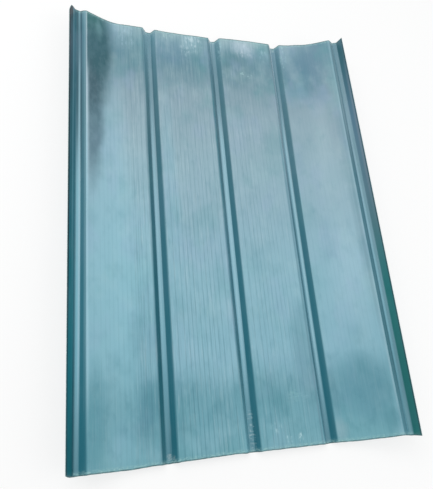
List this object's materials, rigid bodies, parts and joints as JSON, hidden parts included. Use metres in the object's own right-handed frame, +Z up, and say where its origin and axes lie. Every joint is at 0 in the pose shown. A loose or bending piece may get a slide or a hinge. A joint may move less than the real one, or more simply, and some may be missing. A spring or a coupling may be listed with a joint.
{
  "type": "corrugated plastic sheet",
  "caption": "Translucent teal plastic roofing sheet with wide flat pans, narrow trapezoidal ribs and curled-up side edges.",
  "frame": {"origin": "on the floor below the middle of the sheet, at the bottom centre of its box", "axes": "+Y along the ribs, +X across the sheet towards the higher edge, +Z up from the floor"},
  "size_m": [0.9268, 1.335, 0.1004],
  "materials": {
    "tinted_plastic": "glossy translucent, lightly weathered"
  },
  "bodies": {
    "root": {"sheet": "tinted_plastic"}
  },
  "joints": []
}
